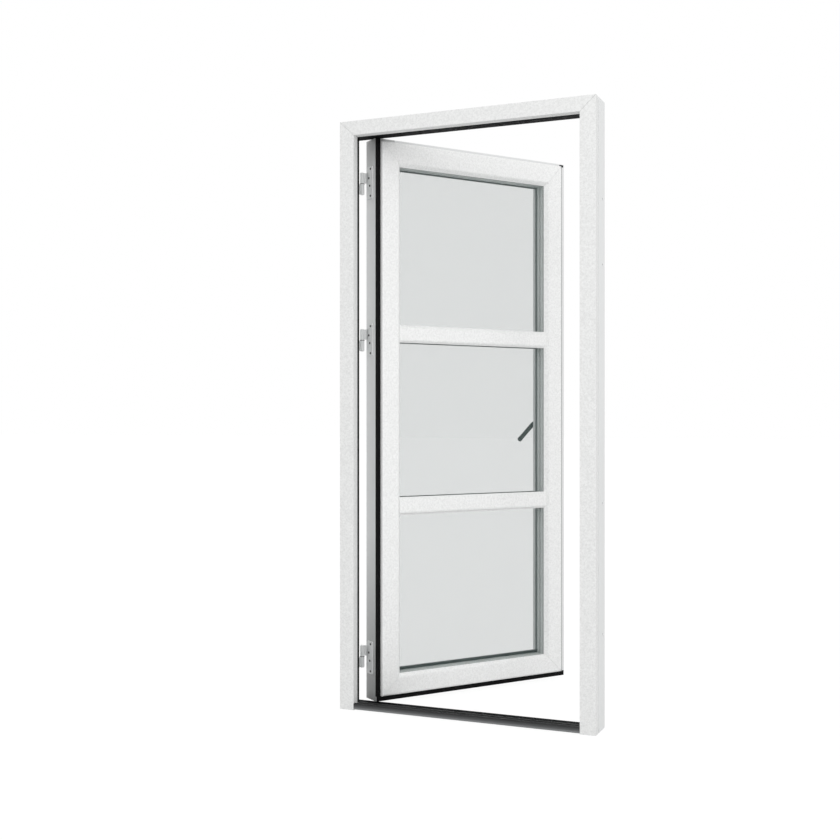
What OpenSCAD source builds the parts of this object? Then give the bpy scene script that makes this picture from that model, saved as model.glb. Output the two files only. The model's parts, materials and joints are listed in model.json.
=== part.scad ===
// Inward-opening casement window, full height, left-hand hinges seen from outside.
// X runs along the width, Y from the outside face into the building, Z is up.
// The origin is the middle of the underside of the frame.

/* [Frame] */
// Overall width of the frame
frame_w = 940; // [800:10:1200]
// Overall height of the frame
frame_h = 2110; // [1900:10:2400]
// Depth of the frame, front to back
frame_d = 120; // [115:1:140]
// Width of the jamb seen from outside
jamb_face = 55; // [52:1:62]
// Height of the head seen from outside
head_face = 52; // [50:1:60]
// Depth of the outer cladding of the frame
frame_clad_d = 40; // [36:1:42]
// Thickness of the jamb behind the sash
jamb_wall = 20; // [20:1:22]
// Height of the threshold at its front nose
nose_h = 24; // [20:1:26]

/* [Sash] */
// How far the sash stands open, in degrees
open_angle = 54.2; // [0:0.2:90]
// Outer face of the sash behind the outer face of the frame
sash_recess = 34.6; // [33:0.2:36]
// Face width of the stile on the hinge side
hinge_stile_w = 68; // [60:1:80]
// Face width of the stile on the lock side
lock_stile_w = 68; // [56:1:74]
// Face height of the top rail
top_rail_w = 74; // [60:1:80]
// Face height of the bottom rail
bottom_rail_w = 64; // [60:1:90]
// Width and depth of the bevel down to the glass
bevel = 12; // [12:1:15]
// Thickness of one pane of glass
pane_t = 4; // [3:1:5]
// Gap between two panes
cavity = 16; // [12:1:16]

/* [Bars] */
// Height of a glazing bar
bar_h = 66; // [40:1:70]
// Height of the middle of the lower bar
lower_bar_z = 722; // [500:1:900]
// Height of the middle of the upper bar
upper_bar_z = 1356; // [1150:1:1600]

/* [Hardware] */
// Radius of a hinge knuckle
knuckle_r = 8; // [7:0.5:8]
// Height of a whole hinge knuckle
knuckle_h = 83; // [70:1:100]
// Height of a hinge plate
leaf_h = 120; // [110:1:140]
// Radius of a hinge pin
pin_r = 4; // [3:0.5:5]
// Height of the handle's pivot
handle_z = 1027; // [950:1:1120]
// Angle of the lever below the horizontal
lever_angle = 43; // [0:5:90]
// Length of the lever beyond its pivot
lever_l = 105; // [90:1:130]

/* [Hidden] */
$fn = 48;

white = "#e9eae8";
black = "#1c1d1e";
steel = "#a9acae";
dark_grey = "#4b4f52";
light_grey = "#8f9492";
glass_tint = [0.80, 0.88, 0.87, 0.35];

// Frame section
flange_d = 49;
gasket_w = 4;
head_wall = 40.5;
liner_t = 2.7;
seal_y0 = 62;
seal_y1 = 68;
nose_d = 14;
deck_h = 16;
back_deck_h = 8.9;
rib_h = 4;
rib_d = 8;

// Hinge axis
axis_x = 27;
axis_y = frame_d + 11;

// Sash faces, closed
clad_gap = 4;
clad_x0 = jamb_face + clad_gap;
clad_x1 = frame_w - jamb_face - 2;
clad_z0 = 31.6;
clad_z1 = frame_h - head_face - 3.5;
clad_back = sash_recess + 15.4;
overlap_y = clad_back + 2;
core_x0 = 42;
core_x1 = frame_w - 33;
core_z0 = 13;
core_z1 = frame_h - 44.2;
core_back = frame_d + 6;
seal_w = 4;
lock_seal_w = 11.5;
seal_corner = 8;

// Daylight opening and glass
day_x0 = clad_x0 + hinge_stile_w + bevel;
day_x1 = clad_x1 - lock_stile_w - bevel;
day_z0 = clad_z0 + bottom_rail_w + bevel;
day_z1 = clad_z1 - top_rail_w - bevel;
rebate = 20;
glass_edge = 16;
unit_back = clad_back + 3 * pane_t + 2 * cavity;
spacer_w = 13;
spacer_inset = 4;
spacer_show = spacer_w + spacer_inset - glass_edge;
bar_face_y = sash_recess + 5.4;
inner_bar_back = unit_back + 20;
glazing_seal_t = 10;
bead_front = unit_back + glazing_seal_t;
bead_slope = 6;
// How far the upper and lower beads stand into the daylight opening
bead_rise_top = 3;
bead_rise_bottom = 10;
// Overlap of the glazing seal on the pane
seal_lap = 14;
// Height of the bevel along a bar
bar_bevel = 9;

// Hinges, one height each
hinge_z = [167, 1333, 1910];
leaf_t = 3;
leaf_y0 = 76;
leaf_y1 = 115;
pin_clear = 0.05;
screw_r = 2.4;
screw_hole_r = 2.5;
screw_head_r = 4.2;
screw_l = 22;
screw_head_t = 1.5;
jamb_screw_l = 13;
// Screw places on a plate: [distance from its front edge, height from its middle]
leaf_screws = [[14, -49.5], [19, -12], [26, 17], [14, 49.5]];

// Lock side
handle_x = 848;
rod_y = 84;
rod_w = 13;
rod_t = 4;
// Groove in the stile, its depth and half its width
groove_d = 14;
groove_x = core_x1 - groove_d;
groove_half = 7;
groove_over = 60;
// Half the height of the window that the latch passes through
rod_window = 32;
rod_z0 = 300;
rod_z1 = 1830;
cam_z = [430, 1030, 1700];
cam_r = 5;
cam_tip = core_x1 + 6;
face_t = 3;
face_half = 6.8;
slot_half = 5.4;
case_w = 60;
case_h = 170;
case_t = 16;
case_clear = 0.3;
spindle_hole_r = 6.5;
latch_z = 1076;
latch_h = 18;
latch_w = 10;
latch_out = 7;
latch_clear = 0.5;
slot_h = 60;
strike_h = 90;
strike_w = 24;
strike_screw_dz = [-38, 38];
// Half the height and half the width of the pocket in a strike plate
strike_pocket_h = 25;
strike_pocket_w = 7;
// Fixing holes through each jamb
fixing_z = [320, 760, 1560, 1780];
fixing_r = 4.5;
fixing_y = 88;
// Rose, neck and lever
rose_t = 10;
rose_w = 30;
rose_h = 70;
rose_screw_dz = [-25, 25];
neck_r = 8;
lever_y = frame_d + 53;
lever_t = 14;
lever_w = 19;
spindle_w = 7;
spindle_y0 = rod_y - 6;
spindle_y1 = frame_d + 36;

// Places children, drawn from the frame's outer bottom left corner, about the origin
module placed() {
    translate([-frame_w / 2, -frame_d / 2, 0]) children();
}

// Places children of the closed sash where the open sash stands
module opened() {
    placed() translate([axis_x, axis_y, 0]) rotate([0, 0, open_angle])
        translate([-axis_x, -axis_y, 0]) children();
}

module box(a, b) {
    translate(a) cube(b - a);
}

// A block whose outline in X and Z runs from y0 to y1
module slab(outline, y0, y1) {
    translate([0, y1, 0]) rotate([90, 0, 0]) linear_extrude(y1 - y0) polygon(outline);
}

// A bar along X whose outline is in Y and Z
module bar_x(outline, x0, x1) {
    translate([x0, 0, 0]) rotate([90, 0, 90]) linear_extrude(x1 - x0) polygon(outline);
}

module rod_x(p, r, x0, x1) {
    translate([x0, p[0], p[1]]) rotate([0, 90, 0]) cylinder(r = r, h = x1 - x0);
}

module rod_y(p, r, y0, y1) {
    translate([p[0], y1, p[1]]) rotate([90, 0, 0]) cylinder(r = r, h = y1 - y0);
}

// Mirrors children to the right-hand jamb
module right_side() {
    translate([frame_w, 0, 0]) mirror([1, 0, 0]) children();
}

// ---- Frame ----
module jamb_cladding() {
    slab([[0, 0], [jamb_face, 0], [jamb_face, frame_h - head_face], [0, frame_h]], 0, frame_clad_d);
}

module frame_cladding_left() color(white) placed() jamb_cladding();
module frame_cladding_right() color(white) placed() right_side() jamb_cladding();

module frame_cladding_head() color(white) placed()
    slab([[0, frame_h], [jamb_face, frame_h - head_face],
          [frame_w - jamb_face, frame_h - head_face], [frame_w, frame_h]], 0, frame_clad_d);

module jamb_core() {
    difference() {
        linear_extrude(frame_h) polygon([[0, frame_clad_d], [jamb_face - gasket_w, frame_clad_d],
            [jamb_face - gasket_w, flange_d], [jamb_wall, flange_d], [jamb_wall, frame_d], [0, frame_d]]);
        for (z = fixing_z) rod_x([fixing_y, z], fixing_r, -1, jamb_wall + 1);
    }
}

module frame_core_left() color(white) placed() difference() {
    jamb_core();
    for (z = hinge_z) for (s = leaf_screws)
        rod_x([leaf_y0 + s[0], z + s[1]], screw_hole_r, jamb_wall - jamb_screw_l - 1, jamb_wall + 1);
}

module frame_core_right() color(white) placed() difference() {
    right_side() jamb_core();
    for (z = cam_z) for (dz = strike_screw_dz)
        rod_x([rod_y, z + dz], screw_hole_r, frame_w - jamb_wall - 1, frame_w - jamb_wall + jamb_screw_l + 1);
}

module frame_core_head() color(white) placed() union() {
    box([jamb_wall, flange_d, frame_h - head_wall], [frame_w - jamb_wall, frame_d, frame_h]);
    box([jamb_face - gasket_w, frame_clad_d, frame_h - head_face + gasket_w],
        [frame_w - jamb_face + gasket_w, flange_d, frame_h]);
}

module jamb_gasket() {
    box([jamb_face - gasket_w, frame_clad_d, 0], [jamb_face, flange_d, frame_h - head_face]);
}

module frame_gasket_left() color(black) placed() jamb_gasket();
module frame_gasket_right() color(black) placed() right_side() jamb_gasket();

module frame_gasket_head() color(black) placed()
    box([jamb_face - gasket_w, frame_clad_d, frame_h - head_face],
        [frame_w - jamb_face + gasket_w, flange_d, frame_h - head_face + gasket_w]);

// Black lining under the head, above the sash
module head_lining() color(black) placed()
    box([jamb_wall, flange_d, frame_h - head_wall - liner_t], [frame_w - jamb_wall, frame_d, frame_h - head_wall]);

// ---- Threshold ----
module threshold_nose() color("#5e6163") placed()
    bar_x([[0, 0], [nose_d, 0], [nose_d, nose_h], [3, nose_h], [0, nose_h - 3]],
          jamb_face, frame_w - jamb_face);

module threshold_deck() color(black) placed() union() {
    box([jamb_face, nose_d, 0], [frame_w - jamb_face, flange_d, deck_h]);
    box([jamb_wall, flange_d, 0], [frame_w - jamb_wall, frame_d, back_deck_h]);
}

module threshold_rib() color("#6a6d6f") placed()
    box([jamb_face, flange_d - rib_d, deck_h], [frame_w - jamb_face, flange_d, deck_h + rib_h]);

module threshold_seal() color(black) placed()
    box([jamb_face, seal_y0, back_deck_h], [frame_w - jamb_face, seal_y1, core_z0 - 0.8]);

// ---- Hinges ----
module screw_pattern(z, x0, x1, r) {
    for (s = leaf_screws) rod_x([leaf_y0 + s[0], z + s[1]], r, x0, x1);
}

module hinge_frame_leaf(z) color(white) placed() difference() {
    union() {
        box([jamb_wall, leaf_y0 - 4, z - leaf_h / 2],
            [jamb_wall + leaf_t, frame_d - 4, z + leaf_h / 2]);
        box([jamb_wall, frame_d - 6, z - knuckle_h / 2], [jamb_wall + leaf_t, axis_y, z - 1]);
        box([jamb_wall, axis_y - 5, z - knuckle_h / 2], [axis_x, axis_y, z - 1]);
        translate([axis_x, axis_y, z - knuckle_h / 2]) cylinder(r = knuckle_r, h = knuckle_h / 2 - 1);
    }
    translate([axis_x, axis_y, z - knuckle_h / 2 + 3]) cylinder(r = pin_r, h = knuckle_h);
    screw_pattern(z, jamb_wall - 1, jamb_wall + leaf_t + 1, screw_hole_r);
}

module hinge_sash_leaf(z) color(white) opened() difference() {
    union() {
        box([core_x0 - leaf_t, leaf_y0, z - leaf_h / 2], [core_x0, leaf_y1, z + leaf_h / 2]);
        box([core_x0 - leaf_t, leaf_y1 - 5, z], [core_x0, axis_y, z + knuckle_h / 2]);
        box([axis_x, axis_y - 5, z], [core_x0, axis_y, z + knuckle_h / 2]);
        translate([axis_x, axis_y, z]) cylinder(r = knuckle_r, h = knuckle_h / 2);
    }
    translate([axis_x, axis_y, z - 1]) cylinder(r = pin_r + pin_clear, h = knuckle_h / 2 - 2);
    screw_pattern(z, core_x0 - leaf_t - 1, core_x0 + 1, screw_hole_r);
}

module hinge_frame_leaf_lower() hinge_frame_leaf(hinge_z[0]);
module hinge_frame_leaf_middle() hinge_frame_leaf(hinge_z[1]);
module hinge_frame_leaf_upper() hinge_frame_leaf(hinge_z[2]);
module hinge_sash_leaf_lower() hinge_sash_leaf(hinge_z[0]);
module hinge_sash_leaf_middle() hinge_sash_leaf(hinge_z[1]);
module hinge_sash_leaf_upper() hinge_sash_leaf(hinge_z[2]);

module hinge_pins() color(steel) placed() for (z = hinge_z)
    translate([axis_x, axis_y, z - knuckle_h / 2 + 3]) cylinder(r = pin_r, h = knuckle_h - 8);

module hinge_frame_screws() color(steel) placed() for (z = hinge_z) {
    screw_pattern(z, jamb_wall - jamb_screw_l, jamb_wall + leaf_t, screw_r);
    screw_pattern(z, jamb_wall + leaf_t, jamb_wall + leaf_t + screw_head_t, screw_head_r);
}

module hinge_sash_screws() color(steel) opened() for (z = hinge_z) {
    screw_pattern(z, core_x0 - leaf_t, core_x0 + screw_l, screw_r);
    screw_pattern(z, core_x0 - leaf_t - screw_head_t, core_x0 - leaf_t, screw_head_r);
}

// ---- Strike plates ----
module strike_plates() color(steel) placed() for (z = cam_z) difference() {
    box([frame_w - jamb_wall - face_t, rod_y - strike_w / 2, z - strike_h / 2],
        [frame_w - jamb_wall, rod_y + strike_w / 2, z + strike_h / 2]);
    for (dz = strike_screw_dz)
        rod_x([rod_y, z + dz], screw_hole_r, frame_w - jamb_wall - 4, frame_w - jamb_wall + 1);
    box([frame_w - jamb_wall - face_t - 1, rod_y - strike_pocket_w, z - strike_pocket_h],
        [frame_w - jamb_wall - 1, rod_y + strike_pocket_w, z + strike_pocket_h]);
}

module strike_screws() color(steel) placed() for (z = cam_z) for (dz = strike_screw_dz)
    rod_x([rod_y, z + dz], screw_r, frame_w - jamb_wall - face_t, frame_w - jamb_wall + jamb_screw_l);

// ---- Sash core ----
module sash_stile_hinge() color(white) opened() difference() {
    box([core_x0, overlap_y, core_z0], [day_x0 - rebate, core_back, core_z1]);
    for (z = hinge_z) screw_pattern(z, core_x0 - 1, core_x0 + screw_l + 1, screw_hole_r);
}

module linear_height(z0, z1) {
    translate([0, 0, z0]) linear_extrude(z1 - z0) children();
}

module sash_stile_lock() color(white) opened() difference() {
    box([day_x1 + rebate, overlap_y, core_z0], [core_x1, core_back, core_z1]);
    // Groove for the drive rod and its cover
    box([groove_x, rod_y - groove_half, rod_z0 - groove_over], [core_x1 + 1, rod_y + groove_half, rod_z1 + groove_over]);
    // Pocket for the lock case
    box([groove_x - case_w - case_clear, rod_y - case_t / 2 - case_clear, handle_z - case_h / 2 - case_clear],
        [groove_x + 1, rod_y + case_t / 2 + case_clear, handle_z + case_h / 2 + case_clear]);
    rod_y([handle_x, handle_z], spindle_hole_r, rod_y, core_back + 1);
    for (dz = rose_screw_dz) rod_y([handle_x, handle_z + dz], screw_hole_r, rod_y + case_t / 2, core_back + 1);
}

module sash_rail_top() color(white) opened()
    box([day_x0 - rebate, overlap_y, day_z1 + rebate], [day_x1 + rebate, core_back, core_z1]);

module sash_rail_bottom() color(white) opened()
    box([day_x0 - rebate, overlap_y, core_z0], [day_x1 + rebate, core_back, day_z0 - rebate]);

// ---- Sash cladding, mitred ----
// The corners of the face and of the daylight opening set the mitre lines
// Outline of the cladding from its outer edge inwards and from its face backwards; s turns it round
function clad_outline(outer, face, day, s) = [
    [outer, sash_recess], [outer + s * face, sash_recess], [day, sash_recess + bevel],
    [day, clad_back], [day - s * rebate, clad_back], [day - s * rebate, overlap_y],
    [outer, overlap_y]];
function turned(outline) = [for (p = outline) [p[1], p[0]]];

module sash_cladding_hinge() color(white) opened() intersection() {
    linear_height(clad_z0, clad_z1) polygon(clad_outline(clad_x0, hinge_stile_w, day_x0, 1));
    slab([[clad_x0, clad_z0], [day_x0, day_z0], [day_x0, day_z1], [clad_x0, clad_z1]], 0, frame_d);
}

module sash_cladding_lock() color(white) opened() intersection() {
    linear_height(clad_z0, clad_z1) polygon(clad_outline(clad_x1, lock_stile_w, day_x1, -1));
    slab([[clad_x1, clad_z0], [day_x1, day_z0], [day_x1, day_z1], [clad_x1, clad_z1]], 0, frame_d);
}

module sash_cladding_top() color(white) opened() intersection() {
    bar_x(turned(clad_outline(clad_z1, top_rail_w, day_z1, -1)), clad_x0, clad_x1);
    slab([[clad_x0, clad_z1], [day_x0, day_z1], [day_x1, day_z1], [clad_x1, clad_z1]], 0, frame_d);
}

module sash_cladding_bottom() color(white) opened() intersection() {
    bar_x(turned(clad_outline(clad_z0, bottom_rail_w, day_z0, 1)), clad_x0, clad_x1);
    slab([[clad_x0, clad_z0], [day_x0, day_z0], [day_x1, day_z0], [clad_x1, clad_z0]], 0, frame_d);
}

// ---- Sash gaskets, on the overlap that closes behind the frame's flange ----
module sash_gasket_hinge() color(black) opened()
    box([core_x0 + 1, clad_back, clad_z0], [clad_x0, overlap_y, clad_z1]);

module sash_gasket_lock() color(black) opened()
    box([clad_x1, clad_back, clad_z0], [clad_x1 + lock_seal_w, overlap_y, clad_z1]);

// The top gasket ends in a moulded corner
module sash_gasket_top() color(black) opened() union() {
    box([core_x0 + 1, clad_back, clad_z1], [clad_x1 + lock_seal_w, overlap_y, clad_z1 + seal_w]);
    box([clad_x1 + 1, clad_back, clad_z1], [core_x1 - 5, overlap_y, clad_z1 + seal_corner]);
}

module sash_drip_seal() color(black) opened()
    box([core_x0 + 1, clad_back, core_z0], [core_x1 - 3, overlap_y, clad_z0]);

// ---- Glass unit ----
module pane(i) {
    y0 = clad_back + i * (pane_t + cavity);
    box([day_x0 - glass_edge, y0, day_z0 - glass_edge], [day_x1 + glass_edge, y0 + pane_t, day_z1 + glass_edge]);
}

module glass_outer() color(glass_tint) opened() pane(0);
module glass_middle() color(glass_tint) opened() pane(1);
module glass_inner() color(glass_tint) opened() pane(2);

module ring(grow, w, y0, y1) difference() {
    box([day_x0 - grow, y0, day_z0 - grow], [day_x1 + grow, y1, day_z1 + grow]);
    box([day_x0 - grow + w, y0 - 1, day_z0 - grow + w], [day_x1 + grow - w, y1 + 1, day_z1 + grow - w]);
}

module glass_spacers() color(light_grey) opened() for (i = [0, 1])
    ring(glass_edge - spacer_inset, spacer_w, clad_back + pane_t + i * (pane_t + cavity),
         clad_back + (i + 1) * (pane_t + cavity));

module setting_blocks() color(dark_grey) opened() for (x = [day_x0 + 80, day_x1 - 180])
    box([x, clad_back + 1, day_z0 - rebate], [x + 100, unit_back - 1, day_z0 - glass_edge]);

// ---- Glazing seal and beads on the inside ----
module glazing_seal() color(black) opened() difference() {
    box([day_x0 - seal_lap, unit_back, day_z0 - seal_lap], [day_x1 + seal_lap, bead_front, day_z1 + seal_lap]);
    box([day_x0, unit_back - 1, day_z0 + bead_rise_bottom], [day_x1, bead_front + 1, day_z1 - bead_rise_top]);
}

module bead_stile(x_wall, x_day, s) {
    linear_height(day_z0 - rebate, day_z1 + rebate) polygon([[x_wall, bead_front], [x_day, bead_front],
        [x_day - s * bead_slope, core_back], [x_wall, core_back]]);
}

module bead_rail(z_wall, z_day, s) {
    bar_x([[bead_front, z_wall], [bead_front, z_day], [core_back, z_day - s * bead_slope],
           [core_back, z_wall]], day_x0, day_x1);
}

module glazing_bead_hinge() color(white) opened() bead_stile(day_x0 - rebate, day_x0, 1);
module glazing_bead_lock() color(white) opened() bead_stile(day_x1 + rebate, day_x1, -1);
module glazing_bead_top() color(white) opened()
    bead_rail(day_z1 + rebate, day_z1 - bead_rise_top, -1);
module glazing_bead_bottom() color(white) opened()
    bead_rail(day_z0 - rebate, day_z0 + bead_rise_bottom, 1);

// ---- Bars: outside, inside and between the panes ----
// An outside bar has a bevelled top and bottom and ends on the bevel of the cladding
module outer_bar(z) color(white) opened() intersection() {
    bar_x([[bar_face_y, z - bar_h / 2 + bar_bevel], [bar_face_y, z + bar_h / 2 - bar_bevel],
           [clad_back, z + bar_h / 2], [clad_back, z - bar_h / 2]], day_x0 - bevel, day_x1 + bevel);
    linear_height(0, frame_h) polygon([[day_x0 - bevel, sash_recess], [day_x0, sash_recess + bevel],
        [day_x0, clad_back], [day_x1, clad_back], [day_x1, sash_recess + bevel],
        [day_x1 + bevel, sash_recess]]);
}

module inner_bar(z) color(white) opened()
    bar_x([[unit_back, z - bar_h / 2], [unit_back, z + bar_h / 2],
           [inner_bar_back, z + bar_h / 2 - bar_bevel], [inner_bar_back, z - bar_h / 2 + bar_bevel]], day_x0, day_x1);

module outer_bar_lower() outer_bar(lower_bar_z);
module outer_bar_upper() outer_bar(upper_bar_z);
module inner_bar_lower() inner_bar(lower_bar_z);
module inner_bar_upper() inner_bar(upper_bar_z);

module cavity_bars() color(light_grey) opened() for (z = [lower_bar_z, upper_bar_z]) for (i = [0, 1])
    box([day_x0 + spacer_show, clad_back + pane_t + i * (pane_t + cavity) + 1, z - bar_h / 2 + 3],
        [day_x1 - spacer_show, clad_back + (i + 1) * (pane_t + cavity) - 1, z + bar_h / 2 - 3]);

// ---- Lock ----
// The way that the latch slides in, a little wider than the latch all round
module latch_way(x0, x1) {
    box([x0, rod_y - latch_w / 2 - latch_clear, latch_z - latch_h / 2 - latch_clear],
        [x1, rod_y + latch_w / 2 + latch_clear, latch_z + latch_h / 2 + latch_clear]);
}

module lock_case() color(steel) opened() difference() {
    box([groove_x - case_w, rod_y - case_t / 2, handle_z - case_h / 2],
        [groove_x, rod_y + case_t / 2, handle_z + case_h / 2]);
    rod_y([handle_x, handle_z], spindle_hole_r, 0, frame_d);
    // Guide for the latch
    latch_way(groove_x - 30, groove_x + 1);
}

module lock_faceplate() color(steel) opened() difference() {
    box([core_x1 - face_t, rod_y - face_half, rod_z0 - groove_over + 1], [core_x1, rod_y + face_half, rod_z1 + groove_over - 1]);
    for (z = cam_z) box([core_x1 - 5, rod_y - slot_half, z - slot_h / 2], [core_x1 + 1, rod_y + slot_half, z + slot_h / 2]);
    latch_way(core_x1 - 5, core_x1 + 1);
}

// The rod carries three cams and slides behind the faceplate; a window lets the latch through
module drive_rod() color(steel) opened() union() {
    difference() {
        box([groove_x + 3, rod_y - rod_w / 2, rod_z0], [groove_x + 3 + rod_t, rod_y + rod_w / 2, rod_z1]);
        box([groove_x, rod_y - latch_w / 2 - 0.4, latch_z - rod_window],
            [core_x1, rod_y + latch_w / 2 + 0.4, latch_z + rod_window]);
    }
    for (z = cam_z) rod_x([rod_y, z], cam_r, groove_x + 5, cam_tip);
}

module latch_bolt() color(steel) opened() union() {
    box([groove_x - 18, rod_y - latch_w / 2, latch_z - latch_h / 2],
        [core_x1 - 1, rod_y + latch_w / 2, latch_z + latch_h / 2]);
    linear_height(latch_z - latch_h / 2, latch_z + latch_h / 2) polygon([[core_x1 - 1, rod_y - latch_w / 2],
        [core_x1 + latch_out, rod_y - latch_w / 2], [core_x1 + latch_out, rod_y - latch_w / 2 + 2],
        [core_x1 - 1, rod_y + latch_w / 2]]);
}

// ---- Handle ----
module handle_rose() color(dark_grey) opened() difference() {
    translate([handle_x, core_back + rose_t, handle_z]) rotate([90, 0, 0]) linear_extrude(rose_t)
        union() {
            square([rose_w, rose_h - rose_w], center = true);
            for (s = [-1, 1]) translate([0, s * (rose_h - rose_w) / 2]) circle(d = rose_w);
        }
    rod_y([handle_x, handle_z], neck_r + 0.3, 0, frame_d * 2);
    for (dz = rose_screw_dz) rod_y([handle_x, handle_z + dz], screw_hole_r, 0, frame_d * 2);
}

module rose_screws() color(steel) opened() for (dz = rose_screw_dz)
    rod_y([handle_x, handle_z + dz], screw_r, rod_y + case_t / 2 + 0.5, core_back + rose_t);

// The lever has a round neck and a flat grip with a square end
module handle_lever() color(dark_grey) opened() difference() {
    union() {
        rod_y([handle_x, handle_z], neck_r, core_back + 0.5, lever_y);
        translate([handle_x, 0, handle_z]) rotate([0, 180 - lever_angle, 0]) {
            rod_y([0, 0], lever_w / 2, lever_y - lever_t / 2, lever_y + lever_t / 2);
            box([0, lever_y - lever_t / 2, -lever_w / 2],
                [lever_l, lever_y + lever_t / 2, lever_w / 2]);
        }
    }
    spindle_hole(0.1);
}

module spindle_hole(clear) {
    translate([handle_x, core_back, handle_z]) rotate([0, -lever_angle, 0])
        translate([-(spindle_w + clear) / 2, -1, -(spindle_w + clear) / 2])
        cube([spindle_w + clear, spindle_y1 - core_back + 1, spindle_w + clear]);
}

module handle_spindle() color(steel) opened()
    translate([handle_x, (spindle_y0 + spindle_y1) / 2, handle_z]) rotate([0, -lever_angle, 0])
        cube([spindle_w, spindle_y1 - spindle_y0, spindle_w], center = true);

frame_cladding_left();
frame_cladding_right();
frame_cladding_head();
frame_core_left();
frame_core_right();
frame_core_head();
frame_gasket_left();
frame_gasket_right();
frame_gasket_head();
head_lining();
threshold_nose();
threshold_deck();
threshold_rib();
threshold_seal();
hinge_frame_leaf_lower();
hinge_frame_leaf_middle();
hinge_frame_leaf_upper();
hinge_pins();
hinge_frame_screws();
strike_plates();
strike_screws();
sash_stile_hinge();
sash_stile_lock();
sash_rail_top();
sash_rail_bottom();
sash_cladding_hinge();
sash_cladding_lock();
sash_cladding_top();
sash_cladding_bottom();
sash_gasket_hinge();
sash_gasket_lock();
sash_gasket_top();
sash_drip_seal();
glass_outer();
glass_middle();
glass_inner();
glass_spacers();
setting_blocks();
glazing_seal();
glazing_bead_hinge();
glazing_bead_lock();
glazing_bead_top();
glazing_bead_bottom();
outer_bar_lower();
outer_bar_upper();
inner_bar_lower();
inner_bar_upper();
cavity_bars();
hinge_sash_leaf_lower();
hinge_sash_leaf_middle();
hinge_sash_leaf_upper();
hinge_sash_screws();
lock_case();
lock_faceplate();
handle_rose();
rose_screws();
handle_lever();
handle_spindle();
drive_rod();
latch_bolt();
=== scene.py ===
"""A full-height casement window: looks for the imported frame, sash, hinges, lock and handle."""

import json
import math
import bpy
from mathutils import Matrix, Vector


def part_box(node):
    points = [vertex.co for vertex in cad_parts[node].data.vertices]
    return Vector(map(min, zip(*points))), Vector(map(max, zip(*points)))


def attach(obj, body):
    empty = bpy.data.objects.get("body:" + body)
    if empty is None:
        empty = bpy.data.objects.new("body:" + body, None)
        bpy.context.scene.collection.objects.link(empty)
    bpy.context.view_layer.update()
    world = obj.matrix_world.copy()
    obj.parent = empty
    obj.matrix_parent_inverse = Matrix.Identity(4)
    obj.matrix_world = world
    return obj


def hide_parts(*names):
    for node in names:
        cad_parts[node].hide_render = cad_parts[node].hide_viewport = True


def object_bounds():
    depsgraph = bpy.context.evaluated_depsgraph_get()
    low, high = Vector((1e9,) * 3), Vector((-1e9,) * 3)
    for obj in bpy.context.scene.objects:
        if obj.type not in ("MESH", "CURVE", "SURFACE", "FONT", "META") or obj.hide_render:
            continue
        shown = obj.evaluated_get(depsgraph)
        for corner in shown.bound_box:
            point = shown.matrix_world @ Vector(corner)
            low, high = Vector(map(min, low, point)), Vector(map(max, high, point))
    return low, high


bl_info = {
    "name": "Casement Window",
    "version": (1, 0, 0),
    "blender": (4, 5, 0),
    "location": "3D View > Sidebar > Window",
    "description": "Dresses the frame, sash, glazing and hardware of a casement window",
    "category": "Add Mesh",
}

import bmesh
import bpy
from bpy.props import FloatProperty, FloatVectorProperty, IntProperty, PointerProperty
from mathutils import Matrix, Vector

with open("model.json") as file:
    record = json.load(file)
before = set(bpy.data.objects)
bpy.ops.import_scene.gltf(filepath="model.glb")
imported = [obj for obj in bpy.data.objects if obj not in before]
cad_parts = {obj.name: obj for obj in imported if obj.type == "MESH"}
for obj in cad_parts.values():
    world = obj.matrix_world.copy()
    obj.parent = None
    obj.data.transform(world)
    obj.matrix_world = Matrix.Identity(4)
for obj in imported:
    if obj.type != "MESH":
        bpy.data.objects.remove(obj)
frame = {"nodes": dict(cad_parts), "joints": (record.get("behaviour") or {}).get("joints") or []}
CAD_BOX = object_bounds()
NODES = frame["nodes"]
JOINTS = {joint["name"]: joint for joint in frame["joints"]}

# The sash stands open at rest. OPENED carries a point of the shut sash to where it stands.
HINGE_AXIS = Vector(JOINTS["sash_swing"]["pos_m"])
OPEN_ANGLE = -math.radians(JOINTS["sash_swing"]["range_deg"][0])
OPENED = (
    Matrix.Translation(HINGE_AXIS)
    @ Matrix.Rotation(OPEN_ANGLE, 4, "Z")
    @ Matrix.Translation(-HINGE_AXIS)
)
SHUT = OPENED.inverted()
IN_PLACE = Matrix.Identity(4)


# ---------------------------------------------------------------- measuring the frame


def box_of(points):
    """Lowest and highest corner of some points."""
    return (
        Vector(min(p[i] for p in points) for i in range(3)),
        Vector(max(p[i] for p in points) for i in range(3)),
    )


def shut_box(node):
    """Box of a sash node with the sash swung shut."""
    return box_of([SHUT @ v.co for v in NODES[node].data.vertices])


def solids_of(node, turned):
    """Boxes of the separate solids of a node, after the matrix turned."""
    mesh = bmesh.new()
    mesh.from_mesh(NODES[node].data)
    bmesh.ops.remove_doubles(mesh, verts=mesh.verts, dist=1e-6)
    unseen = set(mesh.verts)
    boxes = []
    while unseen:
        island, edge_of_island = [], [unseen.pop()]
        while edge_of_island:
            vertex = edge_of_island.pop()
            island.append(turned @ vertex.co)
            for edge in vertex.link_edges:
                other = edge.other_vert(vertex)
                if other in unseen:
                    unseen.remove(other)
                    edge_of_island.append(other)
        boxes.append(box_of(island))
    mesh.free()
    return boxes


# ---------------------------------------------------------------- making meshes


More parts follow.
